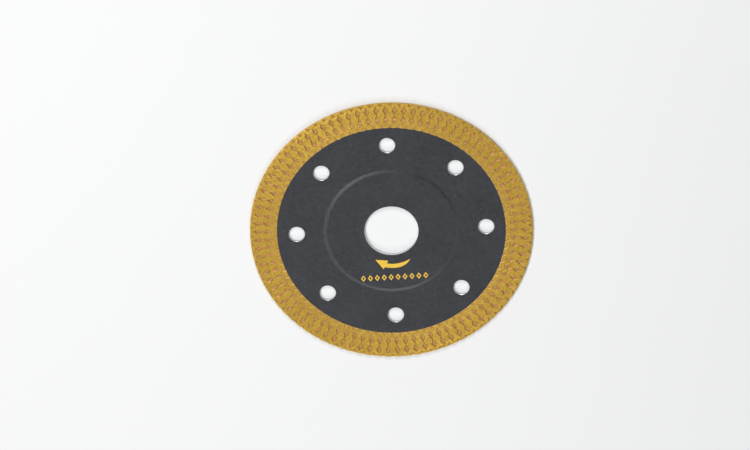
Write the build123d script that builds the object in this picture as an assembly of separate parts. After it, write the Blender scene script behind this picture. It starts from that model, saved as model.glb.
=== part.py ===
"""Continuous-rim diamond blade: a stepped steel core and a pressed, sintered diamond rim.

The blade lies flat. Z is the spindle axis and z = 0 is the middle of the blade's thickness.
The pockets of the rim are placed by their distance inwards from its outer edge.
"""
from build123d import *
import os

# Whole blade, in millimetres
outer_diameter = 105.0
bore_diameter = 20.0
rim_height = 10.0
rim_thickness = 1.1

# How far the rim stands proud of the web, and the boss of the web, on each face
side_clearance = 0.15
boss_rise = 0.35

# Clamping boss round the bore
boss_face_diameter = 48.0
boss_slope_width = 1.25

# Cooling holes through the web
hole_count = 8
hole_diameter = 6.0
hole_to_rim = 4.3
first_hole_angle = 90.0

# Seat of the rim: the core's edge runs as a tongue into a groove in the pressed ring
tongue_length = 3.3
bond_gap = 0.0

# Mesh relief pressed into both faces of the rim; the back one is turned by part of a cell
cell_count = 90
back_face_turn = 0.5
pocket_depth = 0.35
pocket_draft = 45.0
seat_cover = 0.04

# Kite pocket: outer tip, shoulders, and a narrow neck that leads into the bulb
kite_tip_in = 0.95
kite_shoulder_length = 1.9
kite_neck_length = 1.75
kite_width = 2.1
neck_width = 0.2

# Bulb pocket: its shoulders lie over the core's edge, between the neck and its blunt inner tip
bulb_end_length = 1.6
bulb_width = 2.0

# Edge notch, half a cell away: a triangle that opens through the outer edge
notch_length = 1.45
notch_width = 1.65

# Places worked out from the sizes above
outer_radius = outer_diameter / 2
rim_inner_radius = outer_radius - rim_height
tongue_radius = rim_inner_radius + tongue_length
rim_face = rim_thickness / 2
web_face = rim_face - side_clearance
boss_face = web_face + boss_rise
groove_face = web_face + bond_gap
groove_radius = tongue_radius + bond_gap
seat_depth = rim_face - groove_face - seat_cover
hole_circle_radius = rim_inner_radius - hole_to_rim - hole_diameter / 2
cell_angle = 360 / cell_count
kite_shoulder_in = kite_tip_in + kite_shoulder_length
neck_in = kite_shoulder_in + kite_neck_length
bulb_shoulder_in = outer_radius - groove_radius
bulb_end_in = bulb_shoulder_in + bulb_end_length


def turned(*corners):
    """Solid turned about the spindle axis from the corners (radius, z) of its half section."""
    section = make_face(Polyline(*corners, close=True))
    return revolve(Plane.XZ * section, Axis.Z)


def steel_core():
    """Steel disc: bore, clamping boss with a sloping edge, web, cooling holes and tongue."""
    bore_radius = bore_diameter / 2
    boss_radius = boss_face_diameter / 2
    boss_foot_radius = boss_radius + boss_slope_width
    disc = turned(
        (bore_radius, boss_face),
        (boss_radius, boss_face),
        (boss_foot_radius, web_face),
        (tongue_radius, web_face),
        (tongue_radius, -web_face),
        (boss_foot_radius, -web_face),
        (boss_radius, -boss_face),
        (bore_radius, -boss_face),
    )
    drill = Cylinder(hole_diameter / 2, 3 * boss_face)
    places = PolarLocations(hole_circle_radius, hole_count, start_angle=first_hole_angle)
    return disc - [place * drill for place in places]


def rim_blank():
    """Plain ring of the rim, with the groove that seats on the core's tongue.

    It is turned by a quarter of a cell, so that its seam runs clear of the notches.
    """
    return Rot(0, 0, cell_angle / 4) * turned(
        (rim_inner_radius, rim_face),
        (outer_radius, rim_face),
        (outer_radius, -rim_face),
        (rim_inner_radius, -rim_face),
        (rim_inner_radius, -groove_face),
        (groove_radius, -groove_face),
        (groove_radius, groove_face),
        (rim_inner_radius, groove_face),
    )


def outline_on_face(*corners):
    """Flat outline on the top face, from corners (distance inwards, offset sideways)."""
    points = [(outer_radius - inwards, side) for inwards, side in corners]
    return Pos(0, 0, rim_face) * make_face(Polyline(*points, close=True))


def drafted(outline, depth):
    """Pocket below a flat outline, with sloping walls and a flat floor."""
    raised = extrude(outline, amount=depth, taper=pocket_draft)
    return mirror(raised, Plane.XY.offset(outline.center().Z))


def past_the_neck(shoulder_length, width):
    """How far beyond the neck a pocket's sides meet in a tip, so that two tips cross there."""
    return shoulder_length * neck_width / (width - neck_width)


def kite_pocket():
    """Kite of full depth, with its inner tip just past the neck."""
    half = kite_width / 2
    tip_in = neck_in + past_the_neck(kite_neck_length, kite_width)
    shoulders = [(kite_shoulder_in, half), (kite_shoulder_in, -half)]
    outline = outline_on_face((kite_tip_in, 0), shoulders[0], (tip_in, 0), shoulders[1])
    return drafted(outline, pocket_depth)


def bulb_pocket():
    """Bulb, with its outer tip just past the neck.

    It stops short of the core's tongue. From there its outer half goes on down to full depth,
    so that a sloping step runs from shoulder to shoulder.
    """
    half = bulb_width / 2
    tip_in = neck_in - past_the_neck(bulb_shoulder_in - neck_in, bulb_width)
    shoulders = [(bulb_shoulder_in, half), (bulb_shoulder_in, -half)]
    outline = outline_on_face((tip_in, 0), shoulders[0], (bulb_end_in, 0), shoulders[1])
    seat = drafted(outline, seat_depth)
    seat_corners = seat.faces().sort_by(Axis.Z)[0].vertices()
    outer_tip = seat_corners.sort_by(Axis.X)[-1]
    across = seat_corners.sort_by(Axis.Y)
    outer_half = make_face(Polyline(outer_tip, across[-1], across[0], close=True))
    return seat + drafted(outer_half, pocket_depth - seat_depth)


def edge_notch():
    """Triangle from its tip to the outer edge, carried on as far again so that it opens."""
    outside = [(-notch_length, notch_width), (-notch_length, -notch_width)]
    return extrude(outline_on_face((notch_length, 0), *outside), amount=-pocket_depth)


def face_pockets():
    """All pockets of the rim's top face."""
    chain = kite_pocket() + bulb_pocket()
    between = Rot(0, 0, cell_angle / 2)
    cell = [chain, between * edge_notch()]
    places = [Rot(0, 0, first_hole_angle + cell_angle * number) for number in range(cell_count)]
    return [place * tool for place in places for tool in cell]


def diamond_rim():
    """Rim with the mesh relief on both faces."""
    top = face_pockets()
    turned_over = Rot(0, 0, 2 * first_hole_angle + back_face_turn * cell_angle) * Rot(180, 0, 0)
    bottom = [turned_over * tool for tool in top]
    return rim_blank() - top - bottom


def main():
    """Writes one file for each piece."""
    os.makedirs("parts", exist_ok=True)
    export_step(steel_core(), "parts/steel_core.step")
    export_step(diamond_rim(), "parts/diamond_rim.step")


if __name__ == "__main__":
    main()
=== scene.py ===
"""Looks of a diamond blade: a black stepped steel disc with a gold, mesh-relief sintered rim.

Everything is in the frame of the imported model, in metres: Z is the spindle axis, z = 0 is the
middle of the blade's thickness, and the blade lies flat. Sizes are written in millimetres and
multiplied by MM, and angles in degrees, where a docstring doesn't say otherwise.
"""
import logging
import math
from contextlib import contextmanager
from dataclasses import dataclass, field
from enum import Enum
from typing import Any, Callable, Iterator, Sequence

import bmesh
import bpy
from mathutils import Matrix, Quaternion, Vector


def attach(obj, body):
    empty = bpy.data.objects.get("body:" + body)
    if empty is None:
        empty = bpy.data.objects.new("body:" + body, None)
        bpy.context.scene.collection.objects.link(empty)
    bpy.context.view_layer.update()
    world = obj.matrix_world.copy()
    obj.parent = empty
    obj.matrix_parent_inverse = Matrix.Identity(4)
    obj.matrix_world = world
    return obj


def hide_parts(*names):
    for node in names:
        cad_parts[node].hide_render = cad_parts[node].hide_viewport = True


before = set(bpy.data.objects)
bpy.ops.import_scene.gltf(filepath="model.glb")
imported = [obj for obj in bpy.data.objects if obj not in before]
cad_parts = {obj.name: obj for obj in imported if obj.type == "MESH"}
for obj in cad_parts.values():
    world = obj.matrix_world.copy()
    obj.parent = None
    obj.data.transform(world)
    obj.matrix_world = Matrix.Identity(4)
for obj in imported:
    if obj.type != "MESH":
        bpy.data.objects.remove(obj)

log = logging.getLogger("blade")

MM = 0.001
BODY = "root"
INK_THICKNESS = 0.012

# A face is level when this much of its normal is upright, and steep when less is
LEVEL = 0.9
# How far from its stated height a face or corner may lie and still be picked, in millimetres
SLACK = 0.01
# The colour sockets of a Mix node, by place because their names repeat
MIX_SHARE, MIX_FIRST, MIX_SECOND, MIX_RESULT = 0, 6, 7, 2

Point = tuple[float, float]
Span = tuple[float, float]
Colour = tuple[float, float, float]


class Side(Enum):
    """The two faces of the blade, as the sign of their outward direction along Z."""

    FRONT = 1
    BACK = -1


class Value:
    """A number that varies over a surface: the socket of a shader node, with arithmetic."""

    def __init__(self, shader: "Shader", socket: bpy.types.NodeSocket) -> None:
        """Wraps an output socket that carries a number."""
        self.shader = shader
        self.socket = socket

    def _math(self, operation: str, *operands: Any, clamp: bool = False) -> "Value":
        """Adds a Math node on the operands.

        Args:
            operation: the Math node's operation.
            operands: values or plain numbers, in the node's order.
            clamp: True to keep the result from 0 to 1.

        Returns:
            The result, as a value.
        """
        node = self.shader.node("ShaderNodeMath", {"operation": operation, "use_clamp": clamp})
        for place, operand in enumerate(operands):
            self.shader.feed(node.inputs[place], operand)
        return Value(self.shader, node.outputs[0])

    def __add__(self, other: Any) -> "Value":
        """Sum."""
        return self._math("ADD", self, other)

    def __radd__(self, other: Any) -> "Value":
        """Sum, with the number first."""
        return self._math("ADD", other, self)

    def __sub__(self, other: Any) -> "Value":
        """Difference."""
        return self._math("SUBTRACT", self, other)

    def __rsub__(self, other: Any) -> "Value":
        """Difference, with the number first."""
        return self._math("SUBTRACT", other, self)

    def __mul__(self, other: Any) -> "Value":
        """Product."""
        return self._math("MULTIPLY", self, other)

    def __rmul__(self, other: Any) -> "Value":
        """Product, with the number first."""
        return self._math("MULTIPLY", other, self)

    def __pow__(self, other: Any) -> "Value":
        """Power."""
        return self._math("POWER", self, other)

    def absolute(self) -> "Value":
        """The value without its sign."""
        return self._math("ABSOLUTE", self)

    def ramp(self, start: float, end: float) -> "Value":
        """Goes from 0 to 1, clamped, as the value goes up or down from start to end."""
        return self._math("MULTIPLY", self - start, 1.0 / (end - start), clamp=True)

    def about(self, middle: float, spread: float) -> "Value":
        """Goes through a spread about a middle, as the value goes from 0 to 1."""
        return self * spread + (middle - spread / 2)


class NodeTree:
    """A node tree under construction, where one method adds any node."""

    def __init__(self, tree: bpy.types.NodeTree) -> None:
        """Takes a tree over, and empties it."""
        self.tree = tree
        self.tree.nodes.clear()

    def node(
        self,
        kind: str,
        settings: dict[str, Any] | None = None,
        inputs: dict[str, Any] | None = None,
    ) -> Any:
        """Adds a node.

        Args:
            kind: the node's type.
            settings: attributes that are set before the sockets are fed.
            inputs: what each input socket gets, by the socket's name.

        Returns:
            The new node.
        """
        made = self.tree.nodes.new(kind)
        for name, value in (settings or {}).items():
            setattr(made, name, value)
        for name, value in (inputs or {}).items():
            self.feed(made.inputs[name], value)
        return made

    def feed(self, socket: bpy.types.NodeSocket, value: Any) -> None:
        """Links a value, a socket or a plain constant to an input socket.

        Args:
            socket: the input socket.
            value: what goes into it.
        """
        if isinstance(value, Value):
            value = value.socket
        if isinstance(value, bpy.types.NodeSocket):
            self.tree.links.new(value, socket)
        elif isinstance(value, tuple) and len(value) == 3 and socket.type == "RGBA":
            socket.default_value = (*value, 1.0)
        else:
            socket.default_value = value


class Shader(NodeTree):
    """A material under construction, with short ways to the nodes that its finishes share."""

    def __init__(self, name: str) -> None:
        """Starts a material.

        Args:
            name: the material's name.
        """
        self.material = bpy.data.materials.new(name)
        self.material.use_nodes = True
        super().__init__(self.material.node_tree)

    def place(self) -> bpy.types.NodeSocket:
        """The Object coordinates, in metres."""
        return self.node("ShaderNodeTexCoord").outputs["Object"]

    def axes(self) -> tuple[Value, Value, Value]:
        """The Object coordinates one by one, in millimetres."""
        split = self.node("ShaderNodeSeparateXYZ", inputs={"Vector": self.place()})
        return tuple(Value(self, out) * (1 / MM) for out in split.outputs)

    def noise(
        self, size: float, detail: float = 3.0, rough: float = 0.55, seed: float = 0.0
    ) -> Value:
        """Smooth noise from 0 to 1.

        Args:
            size: the breadth of a blotch, in millimetres.
            detail: how many finer layers it has.
            rough: how strong the finer layers are.
            seed: another value gives another pattern.

        Returns:
            The noise.
        """
        made = self.node(
            "ShaderNodeTexNoise",
            {"noise_dimensions": "4D"},
            {
                "Vector": self.place(),
                "W": seed,
                "Scale": 1 / (size * MM),
                "Detail": detail,
                "Roughness": rough,
            },
        )
        return Value(self, made.outputs["Fac"])

    def lines(self, across: Value, size: float, detail: float) -> Value:
        """Noise from 0 to 1 that changes in one direction alone, and so draws lines.

        Args:
            across: the place across the lines, in millimetres.
            size: the breadth of a line, in millimetres.
            detail: how many finer layers it has.

        Returns:
            The noise.
        """
        made = self.node(
            "ShaderNodeTexNoise",
            {"noise_dimensions": "1D"},
            {"W": across, "Scale": 1 / size, "Detail": detail},
        )
        return Value(self, made.outputs["Fac"])

    def grains(self, size: float, seed: float = 0.0) -> Value:
        """A random number from 0 to 1 for each grain of a packed powder.

        Args:
            size: the breadth of a grain, in millimetres.
            seed: another value gives another pattern.

        Returns:
            The number of the grain at each place.
        """
        made = self.node(
            "ShaderNodeTexVoronoi",
            {"voronoi_dimensions": "4D", "feature": "F1"},
            {"Vector": self.place(), "W": seed, "Scale": 1 / (size * MM)},
        )
        split = self.node("ShaderNodeSeparateColor", inputs={"Color": made.outputs["Color"]})
        return Value(self, split.outputs[0])

    def mix(self, share: Any, first: Any, second: Any) -> bpy.types.NodeSocket:
        """Goes from the first colour to the second.

        Args:
            share: 0 for the first colour, 1 for the second.
            first: a colour or a colour socket.
            second: a colour or a colour socket.

        Returns:
            The mixed colour's socket.
        """
        made = self.node("ShaderNodeMix", {"data_type": "RGBA"})
        self.feed(made.inputs[MIX_SHARE], share)
        self.feed(made.inputs[MIX_FIRST], first)
        self.feed(made.inputs[MIX_SECOND], second)
        return made.outputs[MIX_RESULT]

    def bump(
        self, height: Value, depth: float, normal: bpy.types.NodeSocket | None = None
    ) -> bpy.types.NodeSocket:
        """Turns a height into a bent normal.

        Args:
            height: the height, from 0 to 1.
            depth: how far apart 0 and 1 are, in millimetres.
            normal: another bent normal that this one is added to.

        Returns:
            The normal's socket.
        """
        made = self.node(
            "ShaderNodeBump",
            inputs={"Height": height, "Distance": depth * MM, "Strength": 1.0},
        )
        if normal is not None:
            self.feed(made.inputs["Normal"], normal)
        return made.outputs["Normal"]

    def finish(self, **sockets: Any) -> bpy.types.Material:
        """Closes the tree with a Principled BSDF.

        Args:
            sockets: what each socket gets, with underscores for the spaces in its name.

        Returns:
            The finished material.
        """
        named = {name.replace("_", " "): value for name, value in sockets.items()}
        surface = self.node("ShaderNodeBsdfPrincipled", inputs=named)
        self.node("ShaderNodeOutputMaterial", inputs={"Surface": surface.outputs[0]})
        return self.material


@dataclass(frozen=True)
class SatinBlackPaint:
    """Thin satin black paint on steel: mottled, faintly pebbled, with a few pale dust specks."""

    dark: Colour = (0.005, 0.007, 0.011)
    light: Colour = (0.044, 0.046, 0.053)
    tone_span: Span = (0.35, 1.05)
    mottle_size: float = 1.6
    mottle_weight: float = 0.6
    pebble_size: float = 0.35
    pebble_weight: float = 0.55
    cloud_size: float = 14.0
    cloud_weight: float = 0.3
    speck: Colour = (0.09, 0.092, 0.095)
    speck_size: float = 0.3
    speck_span: Span = (0.994, 0.999)
    relief: float = 0.12
    relief_from_pebbles: float = 0.7
    roughness: float = 0.39
    roughness_spread: float = 0.16

    def make(self) -> bpy.types.Material:
        """Builds the material.

        Returns:
            The material.
        """
        shader = Shader("satin_black_paint")
        mottle = shader.noise(self.mottle_size, detail=4, rough=0.7)
        pebble = shader.noise(self.pebble_size, detail=2, seed=3)
        cloud = shader.noise(self.cloud_size, detail=2, seed=5)
        blend = mottle * self.mottle_weight + pebble * self.pebble_weight
        tone = (blend + cloud * self.cloud_weight).ramp(*self.tone_span)
        paint = shader.mix(tone, self.dark, self.light)
        specks = shader.grains(self.speck_size, seed=7).ramp(*self.speck_span)
        height = pebble * self.relief_from_pebbles + mottle * (1 - self.relief_from_pebbles)
        return shader.finish(
            Base_Color=shader.mix(specks, paint, self.speck),
            Roughness=mottle.about(self.roughness, self.roughness_spread),
            Normal=shader.bump(height, self.relief),
        )


@dataclass(frozen=True)
class GoldRimPaint:
    """Gold metallic paint on pressed metal powder.

    The lands are grainy, and ground with marks that run round the rim. The pockets' floors are
    painted redder and darker, as painted shade and gold interreflection in the recesses, their
    lips are painted pale as a painted edge highlight, and the paint is deeper yellow along the
    outer edge. Spans of radii and heights go from no effect to the full one, and heights are
    taken from the middle of the rim's thickness.
    """

    land_dark: Colour = (0.38, 0.225, 0.02)
    land_light: Colour = (0.66, 0.42, 0.055)
    # Painted shade: the pocket floors are darker and redder than the lands, standing in for
    # shade and gold interreflection in the recesses
    shaded_pocket_dark: Colour = (0.43, 0.225, 0.065)
    shaded_pocket_light: Colour = (0.62, 0.33, 0.09)
    pocket_heights: Span = (0.545, 0.46)
    tone_span: Span = (0.4, 1.25)
    grain_size: float = 0.28
    grain_weight: float = 0.55
    fine_size: float = 0.16
    fine_weight: float = 0.5
    cloud_size: float = 3.5
    cloud_weight: float = 0.5
    inside_radii: Span = (52.45, 52.15)
    edge: Colour = (0.62, 0.38, 0.03)
    edge_strength: float = 0.8
    inner_edge: Colour = (0.62, 0.34, 0.09)
    inner_edge_radii: Span = (43.0, 42.6)
    inner_edge_strength: float = 0.7
    # Painted highlight: a pale band along the pockets' lips
    lip_highlight: Colour = (0.72, 0.50, 0.2)
    lip_highlight_from_above: Span = (0.549, 0.543)
    lip_highlight_from_below: Span = (0.475, 0.505)
    lip_highlight_strength: float = 0.85
    mark_size: float = 0.35
    mark_depth: float = 0.12
    relief: float = 0.035
    relief_from_grains: float = 0.4
    roughness: float = 0.42
    roughness_spread: float = 0.2
    metallic: float = 0.5

    def make(self) -> bpy.types.Material:
        """Builds the material.

        Returns:
            The material.
        """
        shader = Shader("gold_rim_paint")
        x, y, z = shader.axes()
        radius = (x * x + y * y) ** 0.5
        height = z.absolute()
        inside = radius.ramp(*self.inside_radii)
        deep = height.ramp(*self.pocket_heights) * inside
        grain = shader.grains(self.grain_size)
        fine = shader.noise(self.fine_size, detail=2, seed=2)
        cloud = shader.noise(self.cloud_size, detail=3, seed=4)
        blend = grain * self.grain_weight + fine * self.fine_weight
        tone = (blend + cloud * self.cloud_weight).ramp(*self.tone_span)
        land = shader.mix(tone, self.land_dark, self.land_light)
        land = shader.mix((1 - inside) * self.edge_strength, land, self.edge)
        inner_edge = radius.ramp(*self.inner_edge_radii) * self.inner_edge_strength
        land = shader.mix(inner_edge, land, self.inner_edge)
        # Painted shade: the pocket floors' darker, redder colour, mixed in below by depth
        floor = shader.mix(tone, self.shaded_pocket_dark, self.shaded_pocket_light)
        # Painted highlight on the pockets' lips, picked by height
        lip_highlight_share = height.ramp(*self.lip_highlight_from_above) * height.ramp(*self.lip_highlight_from_below)
        marks = shader.lines(radius, self.mark_size, detail=2)
        grooves = shader.bump(marks * ((1 - deep) * inside), self.mark_depth)
        powder = grain * self.relief_from_grains + fine * (1 - self.relief_from_grains)
        colour = shader.mix(deep, land, floor)
        return shader.finish(
            Base_Color=shader.mix(lip_highlight_share * self.lip_highlight_strength * inside, colour, self.lip_highlight),
            Roughness=grain.about(self.roughness, self.roughness_spread),
            Metallic=self.metallic,
            Normal=shader.bump(powder, self.relief, normal=grooves),
        )


@dataclass(frozen=True)
class BareSteel:
    """Bright steel where the bore and the cooling holes cut through the paint."""

    dark: Colour = (0.5, 0.51, 0.52)
    light: Colour = (0.78, 0.79, 0.8)
    tone_span: Span = (0.2, 1.0)
    mark_size: float = 1 / 9
    mark_weight: float = 0.6
    mark_depth: float = 0.01
    blotch_size: float = 0.9
    blotch_weight: float = 0.6
    roughness: float = 0.325
    roughness_spread: float = 0.15

    def make(self) -> bpy.types.Material:
        """Builds the material, with fine marks that run round the wall.

        Returns:
            The material.
        """
        shader = Shader("bare_steel")
        z = shader.axes()[2]
        marks = shader.lines(z, self.mark_size, detail=3)
        blotch = shader.noise(self.blotch_size, detail=2)
        tone = (marks * self.mark_weight + blotch * self.blotch_weight).ramp(*self.tone_span)
        return shader.finish(
            Base_Color=shader.mix(tone, self.dark, self.light),
            Roughness=blotch.about(self.roughness, self.roughness_spread),
            Metallic=1.0,
            Normal=shader.bump(marks, self.mark_depth),
        )


@dataclass(frozen=True)
class YellowInk:
    """Screen-printed yellow ink, slightly uneven over the paint's pebbles."""

    thin: Colour = (0.62, 0.37, 0.03)
    full: Colour = (0.83, 0.53, 0.05)
    cover_span: Span = (0.25, 0.7)
    pebble_size: float = 0.35
    pebble_weight: float = 0.7
    blotch_size: float = 1.2
    blotch_weight: float = 0.7
    relief: float = 0.02
    roughness: float = 0.5
    roughness_spread: float = 0.1

    def make(self) -> bpy.types.Material:
        """Builds the material.

        Returns:
            The material.
        """
        shader = Shader("yellow_ink")
        pebble = shader.noise(self.pebble_size, detail=2, seed=3)
        blotch = shader.noise(self.blotch_size, detail=3, seed=9)
        blend = pebble * self.pebble_weight + blotch * self.blotch_weight
        return shader.finish(
            Base_Color=shader.mix(blend.ramp(*self.cover_span), self.thin, self.full),
            Roughness=pebble.about(self.roughness, self.roughness_spread),
            Normal=shader.bump(pebble, self.relief),
        )


@dataclass(frozen=True)
class PaleFloor:
    """Matt pale sheet, very slightly cloudy."""

    colour: Colour
    dimming: float = 0.985
    cloud_size: float = 400.0
    roughness: float = 0.9
    specular: float = 0.1

    def make(self) -> bpy.types.Material:
        """Builds the material.

        Returns:
            The material.
        """
        shader = Shader("pale_floor")
        cloud = shader.noise(self.cloud_size, detail=2)
        dim = tuple(part * self.dimming for part in self.colour)
        return shader.finish(
            Base_Color=shader.mix(cloud, self.colour, dim),
            Roughness=self.roughness,
            Specular_IOR_Level=self.specular,
        )


class Workpiece:
    """One mesh being shaped by hand: picks its faces, edges and corners by place."""

    def __init__(self, name: str) -> None:
        """Takes the active object, which an operator has just added, and names it."""
        self.obj = bpy.context.active_object
        self.obj.name = name

    @contextmanager
    def editing(self, mode: str) -> Iterator[None]:
        """Edit mode with nothing selected.

        Args:
            mode: VERT, EDGE or FACE.
        """
        only(self.obj)
        bpy.ops.object.mode_set(mode="EDIT")
        bpy.ops.mesh.select_mode(type=mode)
        bpy.ops.mesh.select_all(action="DESELECT")
        yield
        bpy.ops.object.mode_set(mode="OBJECT")

    def _pick(self, kind: str, test: Callable[[Any], bool]) -> None:
        """Selects the elements that pass a test, and no others.

        Args:
            kind: verts, edges or faces.
            test: says whether an element is wanted.
        """
        bpy.ops.mesh.select_all(action="DESELECT")
        mesh = bmesh.from_edit_mesh(self.obj.data)
        for element in [element for element in getattr(mesh, kind) if test(element)]:
            element.select_set(True)
        mesh.select_flush_mode()
        bmesh.update_edit_mesh(self.obj.data)

    def pick_faces(self, test: Callable[[Any], bool]) -> None:
        """Selects faces by a test."""
        self._pick("faces", test)

    def pick_edges(self, test: Callable[[Any], bool]) -> None:
        """Selects edges by a test."""
        self._pick("edges", test)

    def pick_corners(self, test: Callable[[Any], bool]) -> None:
        """Selects vertices by a test."""
        self._pick("verts", test)

    def moved_copy(self, name: str, move: Matrix) -> "Workpiece":
        """A copy with its own mesh, moved or turned in that mesh.

        Args:
            name: the copy's name.
            move: the move or turn, in the frame.

        Returns:
            The copy.
        """
        twin = self.obj.copy()
        twin.data = self.obj.data.copy()
        twin.data.transform(move)
        bpy.context.scene.collection.objects.link(twin)
        only(twin)
        return Workpiece(name)

    def take_in(self, others: Sequence["Workpiece"]) -> None:
        """Joins other pieces into this one.

        Args:
            others: the pieces that become part of it.
        """
        bpy.ops.object.select_all(action="DESELECT")
        for other in others:
            other.obj.select_set(True)
        self.obj.select_set(True)
        bpy.context.view_layer.objects.active = self.obj
        bpy.ops.object.join()

    def cut_away(self, tool: "Workpiece") -> None:
        """Cuts a tool's shape out of this piece, and removes the tool.

        Args:
            tool: the closed shape that is cut out.
        """
        only(self.obj)
        cut = self.obj.modifiers.new("cut", "BOOLEAN")
        cut.operation = "DIFFERENCE"
        cut.solver = "EXACT"
        cut.object = tool.obj
        bpy.ops.object.modifier_apply(modifier=cut.name)
        bpy.data.objects.remove(tool.obj)

    def weld(self, gap: float = 0.001) -> None:
        """Merges corners that lie together, and turns all faces outwards.

        Args:
            gap: how close they are, in millimetres.
        """
        with self.editing("VERT"):
            bpy.ops.mesh.select_all(action="SELECT")
            bpy.ops.mesh.remove_doubles(threshold=gap * MM)
            bpy.ops.mesh.normals_make_consistent(inside=False)

    def dress(self, *materials: bpy.types.Material) -> None:
        """Gives the piece its materials, in the order of its slots.

        Args:
            materials: one material for each slot.
        """
        self.obj.data.materials.clear()
        for material in materials:
            self.obj.data.materials.append(material)


def only(obj: bpy.types.Object) -> None:
    """Makes an object the only selected one, and active.

    Args:
        obj: the object.
    """
    bpy.ops.object.select_all(action="DESELECT")
    obj.select_set(True)
    bpy.context.view_layer.objects.active = obj


def add(operator: Callable[..., Any], name: str, **settings: Any) -> Workpiece:
    """Adds a primitive with nothing else selected.

    Args:
        operator: the operator that adds it.
        name: the new object's name.
        settings: the operator's own settings.

    Returns:
        The new piece.
    """
    bpy.ops.object.select_all(action="DESELECT")
    operator(**settings)
    return Workpiece(name)


def runs_round(edge: Any, radius: float, slack: float = 0.03) -> bool:
    """Says whether an edge is part of a circle about the spindle axis.

    Args:
        edge: the edge.
        radius: the circle's radius, in millimetres.
        slack: how far the edge may lie from it, in millimetres.

    Returns:
        True if both its ends lie on the circle, at one height.
    """
    first, second = edge.verts
    level = abs(first.co.z - second.co.z) < slack * MM
    return level and all(abs(vert.co.xy.length / MM - radius) < slack for vert in edge.verts)


def direction(azimuth: float, elevation: float) -> Vector:
    """The unit vector that points away from the blade.

    Args:
        azimuth: the angle round Z, from +X, in degrees.
        elevation: the angle above the blade's plane, in degrees.

    Returns:
        The unit vector.
    """
    turn, rise = math.radians(azimuth), math.radians(elevation)
    flat = math.cos(rise)
    return Vector((math.cos(turn) * flat, math.sin(turn) * flat, math.sin(rise)))


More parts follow.
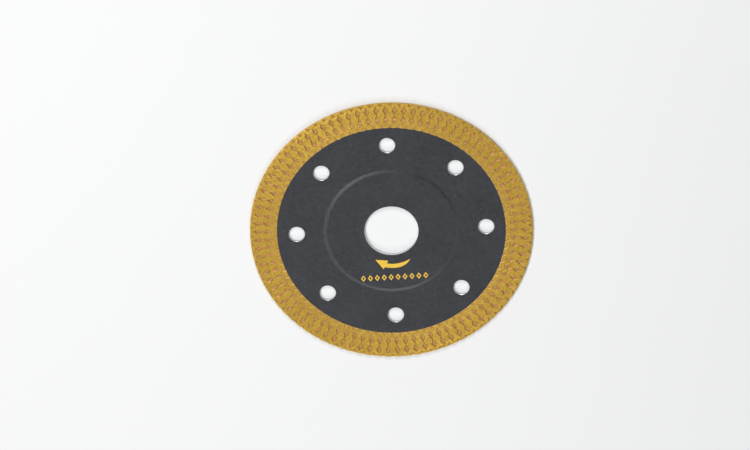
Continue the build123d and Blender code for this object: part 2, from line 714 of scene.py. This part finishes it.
@dataclass
class SteelCore:
    """The steel disc: bore, boss with a sloping edge, web with its holes, and hidden tongue."""

    bore_radius: float = 10.0
    bore_break: float = 0.22
    break_steps: int = 2
    boss_radius: float = 24.0
    boss_rise: float = 0.35
    slope_width: float = 1.25
    slope_rounding: float = 0.16
    rounding_steps: int = 3
    support: float = 0.6
    web_face: float = 0.4
    tongue_radius: float = 45.8
    hole_count: int = 8
    hole_radius: float = 3.0
    hole_circle_radius: float = 35.2
    hole_break: float = 0.1
    sectors: int = 360
    hole_sectors: int = 72
    smooth_angle: float = 8.0

    @property
    def foot_radius(self) -> float:
        """Where the boss's slope meets the web."""
        return self.boss_radius + self.slope_width

    def blank(self) -> Workpiece:
        """Turns a plain disc into the stepped one.

        The front boss is lower by the ink's thickness, which leaves room for the print.

        Returns:
            The disc, with its boss on both faces and its bore open.
        """
        disc = add(
            bpy.ops.mesh.primitive_cylinder_add,
            "core_body",
            vertices=self.sectors,
            radius=self.tongue_radius * MM,
            depth=2 * self.web_face * MM,
        )
        to_foot = self.tongue_radius - self.foot_radius - self.support
        to_bore = self.boss_radius - self.support - self.bore_radius
        for side in Side:
            rise = self.boss_rise
            if side is Side.FRONT:
                rise -= INK_THICKNESS
            with disc.editing("FACE"):
                disc.pick_faces(lambda face: face.normal.z * side.value > LEVEL)
                for width in (to_foot, self.support, self.slope_width):
                    bpy.ops.mesh.inset(thickness=width * MM)
                bpy.ops.transform.translate(value=(0, 0, side.value * rise * MM))
                for width in (self.support, to_bore):
                    bpy.ops.mesh.inset(thickness=width * MM)
                bpy.ops.mesh.delete(type="ONLY_FACE")
        with disc.editing("EDGE"):
            disc.pick_edges(lambda edge: edge.is_boundary)
            bpy.ops.mesh.bridge_edge_loops()
            bpy.ops.mesh.select_all(action="SELECT")
            bpy.ops.mesh.normals_make_consistent(inside=False)
        return disc

    def soften(self, disc: Workpiece) -> None:
        """Breaks the bore's edges, and rounds the top and the foot of the boss's slope.

        Args:
            disc: the stepped disc.
        """
        rings = (
            (self.bore_radius, self.bore_break, self.break_steps),
            (self.boss_radius, self.slope_rounding, self.rounding_steps),
            (self.foot_radius, self.slope_rounding, self.rounding_steps),
        )
        with disc.editing("EDGE"):
            for radius, width, steps in rings:
                disc.pick_edges(lambda edge: runs_round(edge, radius))
                bpy.ops.mesh.bevel(offset=width * MM, segments=steps, affect="EDGES")

    def drill(self) -> Workpiece:
        """The shape of all cooling holes, flared where they meet the web's faces.

        Returns:
            The drills, as one piece.
        """
        centre = (0, self.hole_circle_radius * MM, 0)
        drill = add(
            bpy.ops.mesh.primitive_cylinder_add,
            "drill",
            vertices=self.hole_sectors,
            radius=self.hole_radius * MM,
            depth=2 * (self.web_face - self.hole_break) * MM,
            location=centre,
        )
        bpy.ops.object.transform_apply(location=True)
        flare = 2 * self.hole_break
        spread = (self.hole_radius + flare) / self.hole_radius
        for side in Side:
            lift = (0, 0, side.value * flare * MM)
            with drill.editing("FACE"):
                drill.pick_faces(lambda face: face.normal.z * side.value > LEVEL)
                bpy.ops.mesh.extrude_region_move(TRANSFORM_OT_translate={"value": lift})
                bpy.ops.transform.resize(value=(spread, spread, 1), center_override=centre)
        step = math.tau / self.hole_count
        copies = [
            drill.moved_copy(f"drill_{number}", Matrix.Rotation(number * step, 4, "Z"))
            for number in range(1, self.hole_count)
        ]
        drill.take_in(copies)
        return drill

    def bare(self, face: bpy.types.MeshPolygon) -> bool:
        """Says whether a face is bare steel.

        Args:
            face: a face of the finished disc.

        Returns:
            True for the walls and broken edges of the bore and the holes.
        """
        radius = face.center.xy.length / MM
        in_bore = radius < self.bore_radius + self.bore_break
        in_hole = abs(radius - self.hole_circle_radius) < self.hole_radius + self.hole_break
        return abs(face.normal.z) < LEVEL and (in_bore or in_hole)

    def build(self, paint: bpy.types.Material, steel: bpy.types.Material) -> bpy.types.Object:
        """Makes the core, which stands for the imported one.

        Args:
            paint: the finish of the faces.
            steel: the finish of the bore's and the holes' walls.

        Returns:
            The finished object.
        """
        disc = self.blank()
        self.soften(disc)
        disc.cut_away(self.drill())
        disc.dress(paint, steel)
        for face in disc.obj.data.polygons:
            face.material_index = int(self.bare(face))
        only(disc.obj)
        bpy.ops.object.shade_smooth_by_angle(angle=math.radians(self.smooth_angle))
        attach(disc.obj, BODY)
        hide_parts("steel_core")
        return disc.obj


@dataclass
class DiamondRim:
    """The sintered rim: a grooved ring with a mesh of pressed pockets on both faces.

    A pocket's corners are given as (distance in from the outer edge, offset sideways).
    """

    outer_radius: float = 52.5
    inner_radius: float = 42.5
    tongue_radius: float = 45.8
    rim_face: float = 0.55
    web_face: float = 0.4
    cell_count: int = 90
    pocket_depth: float = 0.35
    seat_depth: float = 0.11
    kite: Sequence[Point] = ((0.95, 0.0), (2.85, 1.05), (4.78, 0.0), (2.85, -1.05))
    bulb: Sequence[Point] = (
        (4.37, 0.0), (6.7, 1.0), (8.1, 0.42), (8.4, 0.0), (8.1, -0.42), (6.7, -1.0)
    )
    bulb_shoulders_beyond: float = 0.5
    notch: Sequence[Point] = ((1.45, 0.0), (-1.45, 1.65), (-1.45, -1.65))
    dimple: Sequence[Point] = ((8.4, 0.0), (10.6, 1.05), (10.6, -1.05))
    dimple_wall: float = 0.22
    above: float = 0.1
    edge_rounding: float = 0.05
    rounding_steps: int = 2
    rounding_angle: float = 25.0
    slices: int = 8
    modelled_cells: int = 3
    seam_share: float = 0.25
    seam_slack: float = 0.0001

    @property
    def cell(self) -> float:
        """The angle of one cell, in radians."""
        return math.tau / self.cell_count

    def wedge(self) -> Workpiece:
        """Half the rim's thickness, over a few cells: its section turned about the axis.

        Returns:
            The wedge, centred on +X and closed, with its lowest face at mid-thickness.
        """
        section = [
            (self.inner_radius, self.web_face),
            (self.inner_radius, self.rim_face),
            (self.outer_radius, self.rim_face),
            (self.outer_radius, 0.0),
            (self.tongue_radius, 0.0),
            (self.tongue_radius, self.web_face),
        ]
        wedge = add(
            bpy.ops.mesh.primitive_circle_add,
            "rim_wedge",
            vertices=len(section),
            fill_type="NGON",
        )
        for vert, (radius, height) in zip(wedge.obj.data.vertices, section):
            vert.co = Vector((radius, 0, height)) * MM
        angle = self.modelled_cells * self.cell
        wedge.obj.data.transform(Matrix.Rotation(angle / 2, 4, "Z"))
        steps = self.modelled_cells * self.slices
        with wedge.editing("FACE"):
            bpy.ops.mesh.select_all(action="SELECT")
            bpy.ops.mesh.spin(steps=steps, angle=angle, center=(0, 0, 0), axis=(0, 0, 1))
        return wedge

    def cutter(
        self, name: str, outline: Sequence[Point], wall: float, depth: float
    ) -> Workpiece:
        """A closed shape that presses a pocket: an outline, drawn in as it goes down.

        Args:
            name: the piece's name.
            outline: the pocket's corners.
            wall: how far the sloping walls draw in, in millimetres.
            depth: how deep the pocket is, in millimetres.

        Returns:
            The cutter, with its flat floor as its lowest face.
        """
        cutter = add(
            bpy.ops.mesh.primitive_circle_add, name, vertices=len(outline), fill_type="NGON"
        )
        for vert, (inwards, side) in zip(cutter.obj.data.vertices, outline):
            vert.co = Vector((self.outer_radius - inwards, side, self.rim_face)) * MM
        lift = (0, 0, self.above * MM)
        lowest = (self.rim_face + SLACK) * MM
        with cutter.editing("FACE"):
            bpy.ops.mesh.select_all(action="SELECT")
            bpy.ops.mesh.normals_make_consistent(inside=False)
            cutter.pick_faces(lambda face: True)
            bpy.ops.mesh.extrude_region_move(TRANSFORM_OT_translate={"value": lift})
            bpy.ops.mesh.select_all(action="SELECT")
            bpy.ops.mesh.normals_make_consistent(inside=False)
            cutter.pick_faces(lambda face: face.calc_center_median().z < lowest)
            bpy.ops.mesh.inset(thickness=wall * MM, depth=depth * MM)
        return cutter

    def bulb_cutter(self) -> Workpiece:
        """The bulb's cutter: shallow over the tongue, and its outer half at full depth.

        Returns:
            The cutter.
        """
        cutter = self.cutter("bulb_cutter", self.bulb, self.seat_depth, self.seat_depth)
        floor = (self.rim_face - self.seat_depth) * MM
        rest = (self.pocket_depth - self.seat_depth) * MM
        beyond = self.bulb_shoulders_beyond * MM
        slack = SLACK * MM
        with cutter.editing("VERT"):
            cutter.pick_corners(
                lambda vert: abs(vert.co.z - floor) < slack and abs(vert.co.y) > beyond
            )
            bpy.ops.mesh.vert_connect()
            bpy.ops.mesh.select_mode(type="FACE")
            halves = [
                face
                for face in bmesh.from_edit_mesh(cutter.obj.data).faces
                if abs(face.normal.z) > LEVEL and face.calc_center_median().z < floor + slack
            ]
            outer = max(halves, key=lambda face: face.calc_center_median().x).index
            cutter.pick_faces(lambda face: face.index == outer)
            bpy.ops.mesh.inset(thickness=rest, depth=rest)
        return cutter

    def press(self, wedge: Workpiece) -> None:
        """Presses all pockets of the modelled cells into the wedge.

        Args:
            wedge: the plain wedge.
        """
        deep, shallow = self.pocket_depth, self.seat_depth
        in_line, between = 0.0, 0.5
        kinds = [
            (self.cutter("kite_cutter", self.kite, deep, deep), in_line),
            (self.bulb_cutter(), in_line),
            (self.cutter("notch_cutter", self.notch, deep, deep), between),
            (self.cutter("dimple_cutter", self.dimple, self.dimple_wall, shallow), between),
        ]
        reach = (self.modelled_cells + 1) // 2
        for cutter, shift in kinds:
            for number in range(-reach, reach + 1):
                turn = Matrix.Rotation((number + shift) * self.cell, 4, "Z")
                wedge.cut_away(cutter.moved_copy("pocket", turn))
            bpy.data.objects.remove(cutter.obj)

    def trim(self, wedge: Workpiece) -> None:
        """Opens the wedge at mid-thickness, softens its edges and keeps only its middle cell.

        Args:
            wedge: the pressed wedge.
        """
        with wedge.editing("FACE"):
            wedge.pick_faces(
                lambda face: face.normal.z < -LEVEL
                and face.calc_center_median().z < SLACK * MM
            )
            bpy.ops.mesh.delete(type="FACE")
        only(wedge.obj)
        soften = wedge.obj.modifiers.new("soften", "BEVEL")
        soften.width = self.edge_rounding * MM
        soften.segments = self.rounding_steps
        soften.limit_method = "ANGLE"
        soften.angle_limit = math.radians(self.rounding_angle)
        bpy.ops.object.modifier_apply(modifier=soften.name)
        last = self.seam_share * self.cell
        for sign, angle in ((1, last), (-1, last - self.cell)):
            with wedge.editing("FACE"):
                bpy.ops.mesh.select_all(action="SELECT")
                bpy.ops.mesh.bisect(
                    plane_co=(0, 0, 0),
                    plane_no=(-sign * math.sin(angle), sign * math.cos(angle), 0),
                    clear_outer=True,
                    threshold=self.seam_slack * MM,
                )

    def build(self, paint: bpy.types.Material) -> bpy.types.Object:
        """Makes the rim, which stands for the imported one.

        Args:
            paint: the finish of the whole ring.

        Returns:
            The finished object.
        """
        wedge = self.wedge()
        self.press(wedge)
        self.trim(wedge)
        up = math.pi / 2
        ring = wedge.moved_copy("rim_ring", Matrix.Rotation(up, 4, "Z"))
        copies = [
            wedge.moved_copy("cell", Matrix.Rotation(up + number * self.cell, 4, "Z"))
            for number in range(1, self.cell_count)
        ]
        ring.take_in(copies)
        bpy.data.objects.remove(wedge.obj)
        half_cell_on = Matrix.Rotation(math.pi + self.cell / 2, 4, "Z")
        back = ring.moved_copy("rim_back", half_cell_on @ Matrix.Rotation(math.pi, 4, "X"))
        ring.take_in([back])
        ring.weld()
        ring.dress(paint)
        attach(ring.obj, BODY)
        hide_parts("diamond_rim")
        return ring.obj


@dataclass
class Print:
    """The yellow print on the boss: a curved arrow, and a row of plain open rhombi."""

    top: float = 0.75
    head: Sequence[Point] = ((-6.5, -11.75), (-1.75, -12.3), (-2.3, -13.45))
    shaft_inner_bend: Point = (2.1, -14.4)
    tail: Point = (6.45, -11.9)
    shaft_outer_bend: Point = (4.0, -16.6)
    heel: Sequence[Point] = ((-3.2, -14.95), (-3.65, -15.8))
    bend_share: float = 2 / 3
    curve_steps: int = 16
    rhombus_count: int = 10
    rhombus_height: float = 2.6
    rhombus_width: float = 1.9
    rhombus_pitch: float = 2.58
    rhombus_stroke: float = 0.4
    row_middle: Point = (0.3, -19.2)
    row_turn: float = 1.0

    def arrow(self) -> Workpiece:
        """The arrow, as a filled outline with two curved sides.

        Returns:
            The arrow's mesh.
        """
        outline = [*self.head, self.tail, *self.heel]
        bends = {2: self.shaft_inner_bend, 3: self.shaft_outer_bend}
        curve = bpy.data.curves.new("arrow_print", "CURVE")
        curve.dimensions = "2D"
        curve.fill_mode = "BOTH"
        curve.extrude = INK_THICKNESS / 2 * MM
        curve.resolution_u = self.curve_steps
        line = curve.splines.new("BEZIER")
        line.bezier_points.add(len(outline) - 1)
        line.use_cyclic_u = True
        for point, (x, y) in zip(line.bezier_points, outline):
            point.co = (x * MM, y * MM, 0)
            point.handle_left_type = point.handle_right_type = "VECTOR"
        for number, bend in bends.items():
            start = line.bezier_points[number]
            end = line.bezier_points[number + 1]
            start.handle_right_type = end.handle_left_type = "FREE"
            middle = Vector((*bend, 0)) * MM
            start.handle_right = start.co.lerp(middle, self.bend_share)
            end.handle_left = end.co.lerp(middle, self.bend_share)
        obj = bpy.data.objects.new("arrow_print", curve)
        bpy.context.scene.collection.objects.link(obj)
        only(obj)
        bpy.ops.object.convert(target="MESH")
        arrow = Workpiece("arrow_print")
        height = (self.top - INK_THICKNESS / 2) * MM
        arrow.obj.data.transform(Matrix.Translation((0, 0, height)))
        arrow.weld()
        return arrow

    def rhombi(self) -> Workpiece:
        """The row of open rhombi.

        Returns:
            The row's mesh.
        """
        first = add(
            bpy.ops.mesh.primitive_circle_add,
            "rhombus_print",
            vertices=4,
            radius=self.rhombus_height / 2 * MM,
            fill_type="NGON",
            location=(0, 0, (self.top - INK_THICKNESS) * MM),
        )
        first.obj.scale.x = self.rhombus_width / self.rhombus_height
        bpy.ops.object.transform_apply(location=True, rotation=True, scale=True)
        lift = (0, 0, INK_THICKNESS * MM)
        with first.editing("FACE"):
            bpy.ops.mesh.select_all(action="SELECT")
            bpy.ops.mesh.inset(thickness=self.rhombus_stroke * MM)
            bpy.ops.mesh.delete(type="FACE")
            bpy.ops.mesh.select_all(action="SELECT")
            bpy.ops.mesh.extrude_region_move(TRANSFORM_OT_translate={"value": lift})
        to_middle = Matrix.Translation(Vector((*self.row_middle, 0)) * MM)
        tilt = Matrix.Rotation(math.radians(self.row_turn), 4, "Z")
        middle = (self.rhombus_count - 1) / 2
        row = []
        for number in range(self.rhombus_count):
            along = (number - middle) * self.rhombus_pitch * MM
            move = to_middle @ tilt @ Matrix.Translation((along, 0, 0))
            row.append(first.moved_copy("rhombus", move))
        row[0].take_in(row[1:])
        bpy.data.objects.remove(first.obj)
        row[0].obj.name = "rhombus_print"
        row[0].weld()
        return row[0]

    def build(self, ink: bpy.types.Material) -> list[bpy.types.Object]:
        """Makes both prints.

        Args:
            ink: their finish.

        Returns:
            The finished objects.
        """
        made = [self.arrow(), self.rhombi()]
        for piece in made:
            piece.dress(ink)
            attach(piece.obj, BODY)
        return [piece.obj for piece in made]


@dataclass
class Lamp:
    """A soft square lamp that points at the blade, with its distance and size in metres."""

    name: str
    azimuth: float
    elevation: float
    size: float
    power: float
    distance: float = 1.2

    def build(self) -> None:
        """Adds the lamp."""
        data = bpy.data.lights.new(self.name, "AREA")
        data.shape = "SQUARE"
        data.size = self.size
        data.energy = self.power
        lamp = bpy.data.objects.new(self.name, data)
        bpy.context.scene.collection.objects.link(lamp)
        away = direction(self.azimuth, self.elevation)
        lamp.location = away * self.distance
        lamp.rotation_euler = away.to_track_quat("Z", "Y").to_euler()


@dataclass
class Studio:
    """The pale floor, the soft light and the camera.

    The floor's size and the camera's clipping distances are in metres. The camera's azimuth
    is taken from -Y.
    """

    floor_height: float = -0.75
    floor_size: float = 60.0
    floor_colour: Colour = (0.84, 0.845, 0.85)
    sky_strength: float = 0.08
    camera_azimuth: float = 177.335
    camera_elevation: float = 63.425
    camera_roll: float = 180.0
    lens: float = 900.0
    sensor: float = 36.0
    clip: Span = (0.1, 100.0)
    photo_width: float = 750.0
    photo_height: float = 450.0
    pixels_per_mm: float = 2.693
    centre_pixel: Point = (391.43, 229.975)
    lamps: list[Lamp] = field(
        default_factory=lambda: [
            Lamp("key", azimuth=165, elevation=65, size=0.4, power=7.6),
            Lamp("back", azimuth=92, elevation=38, size=0.45, power=7.0),
            Lamp("front", azimuth=-90, elevation=30, size=0.3, power=3.2),
            Lamp("front_left", azimuth=-125, elevation=45, size=0.3, power=1.8),
            Lamp("front_right", azimuth=-45, elevation=45, size=0.3, power=1.4),
        ]
    )

    def floor(self) -> None:
        """Adds the floor that the blade lies on."""
        sheet = add(
            bpy.ops.mesh.primitive_plane_add,
            "floor",
            size=self.floor_size,
            location=(0, 0, self.floor_height * MM),
        )
        sheet.dress(PaleFloor(self.floor_colour).make())

    def sky(self) -> None:
        """Sets the world: an even light, and the floor's own tone where it is seen."""
        world = bpy.data.worlds.new("studio")
        bpy.context.scene.world = world
        world.use_nodes = True
        nodes = NodeTree(world.node_tree)
        light = nodes.node("ShaderNodeBackground", inputs={"Strength": self.sky_strength})
        seen = nodes.node("ShaderNodeBackground", inputs={"Color": self.floor_colour})
        looked_at = nodes.node("ShaderNodeLightPath").outputs["Is Camera Ray"]
        pick = nodes.node("ShaderNodeMixShader")
        for place, source in enumerate((looked_at, light.outputs[0], seen.outputs[0])):
            nodes.feed(pick.inputs[place], source)
        nodes.node("ShaderNodeOutputWorld", inputs={"Surface": pick.outputs[0]})

    def camera(self) -> None:
        """Sets the camera at the photograph's angle, scale and framing."""
        data = bpy.data.cameras.new("camera")
        data.lens = self.lens
        data.sensor_width = self.sensor
        data.clip_start, data.clip_end = self.clip
        right, down = self.centre_pixel
        data.shift_x = (self.photo_width / 2 - right) / self.photo_width
        data.shift_y = (down - self.photo_height / 2) / self.photo_width
        camera = bpy.data.objects.new("camera", data)
        bpy.context.scene.collection.objects.link(camera)
        view_width = self.photo_width / self.pixels_per_mm * MM
        back = direction(self.camera_azimuth - 90, self.camera_elevation)
        camera.location = back * (view_width * self.lens / self.sensor)
        roll = Quaternion((0, 0, 1), math.radians(self.camera_roll))
        camera.rotation_euler = (back.to_track_quat("Z", "Y") @ roll).to_euler()
        bpy.context.scene.camera = camera

    def build(self) -> None:
        """Adds the whole studio."""
        self.floor()
        self.sky()
        for lamp in self.lamps:
            lamp.build()
        self.camera()
        bpy.context.scene.view_settings.view_transform = "Standard"


def main() -> None:
    """Builds the blade and its studio, and reports each piece."""
    logging.basicConfig(level=logging.INFO, format="%(message)s")
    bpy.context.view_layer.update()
    core = SteelCore().build(SatinBlackPaint().make(), BareSteel().make())
    rim = DiamondRim().build(GoldRimPaint().make())
    prints = Print().build(YellowInk().make())
    for piece in (core, rim, *prints):
        piece.data.calc_loop_triangles()
        log.info("%s: %d triangles", piece.name, len(piece.data.loop_triangles))
    Studio().build()


if __name__ == "__main__":
    main()
